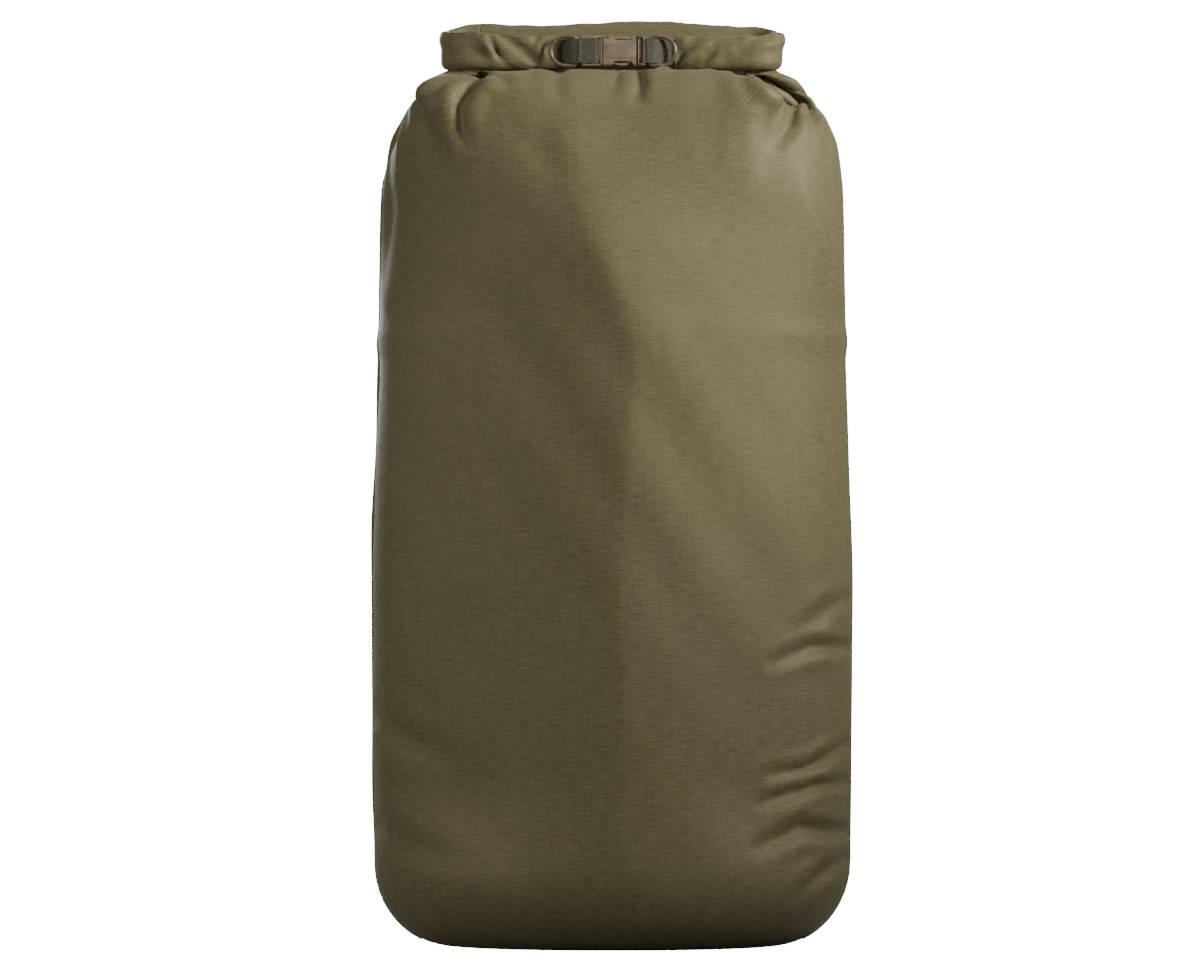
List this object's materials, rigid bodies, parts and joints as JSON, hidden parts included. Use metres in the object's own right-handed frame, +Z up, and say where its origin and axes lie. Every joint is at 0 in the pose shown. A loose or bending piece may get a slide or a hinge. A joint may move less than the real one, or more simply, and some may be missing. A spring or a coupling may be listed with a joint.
{
  "type": "stuff sack",
  "caption": "Large filled roll-top stuff sack, oval base, rolled closure bent forward and joined by a side-release buckle between D-rings.",
  "frame": {"origin": "centre of the oval base, on the ground", "axes": "+Z up, -Y towards the front where the buckle is, +X to the right of someone facing the front"},
  "size_m": [0.476, 0.3006, 0.9243],
  "materials": {
    "olive_cloth": "satin coated weave",
    "seam_tape": "satin film",
    "webbing": "ribbed strap",
    "brown_plastic": "moulded satin",
    "thread": "dense stitching"
  },
  "bodies": {
    "sack": {"front_panel": "olive_cloth", "back_panel": "olive_cloth", "bottom_panel": "olive_cloth", "left_seam_tape": "seam_tape", "right_seam_tape": "seam_tape", "bottom_seam_tape": "seam_tape"},
    "closure": {"rolled_mouth": "olive_cloth", "rim_webbing": "webbing", "right_tab": "webbing", "right_bar_tack": "thread", "buckle_housing": "brown_plastic"},
    "left_wing": {"rolled_mouth_left": "olive_cloth", "rim_webbing_left": "webbing", "left_tab": "webbing", "left_bar_tack": "thread", "buckle_frame": "brown_plastic"},
    "latch_arm_upper": {"latch_arm_upper": "brown_plastic"},
    "latch_arm_lower": {"latch_arm_lower": "brown_plastic"},
    "left_d_ring": {"left_d_ring": "brown_plastic"},
    "right_d_ring": {"right_d_ring": "brown_plastic"}
  },
  "joints": [
    {"name": "closure_tilt", "type": "hinge", "parent": "sack", "child": "closure", "pos_m": [0, 0.006, 0.8845], "axis": [1, 0, 0], "range_deg": [-20, 5], "stiffness_Nm_per_rad": 2},
    {"name": "buckle_release", "type": "slide", "parent": "closure", "child": "left_wing", "axis": [-1, 0, 0], "range_m": [0, 0.038], "deforming": ["latch_arm_upper", "latch_arm_lower"]},
    {"name": "latch_squeeze_upper", "type": "hinge", "parent": "left_wing", "child": "latch_arm_upper", "pos_m": [-0.0087, -0.0552, 0.8972], "axis": [0, 1, 0], "range_deg": [0, 9], "stiffness_Nm_per_rad": 0.6},
    {"name": "latch_squeeze_lower", "type": "hinge", "parent": "left_wing", "child": "latch_arm_lower", "pos_m": [-0.0087, -0.0552, 0.8768], "axis": [0, -1, 0], "range_deg": [0, 9], "stiffness_Nm_per_rad": 0.6},
    {"name": "left_ring_swing", "type": "hinge", "parent": "left_wing", "child": "left_d_ring", "pos_m": [-0.0365, -0.0552, 0.887], "axis": [0, 0, 1], "range_deg": [0, 130]},
    {"name": "right_ring_swing", "type": "hinge", "parent": "closure", "child": "right_d_ring", "pos_m": [0.0385, -0.0552, 0.887], "axis": [0, 0, -1], "range_deg": [0, 130]}
  ],
  "couplings": [
    {"joint": "latch_squeeze_lower", "follows": "latch_squeeze_upper", "ratio": 1}
  ]
}
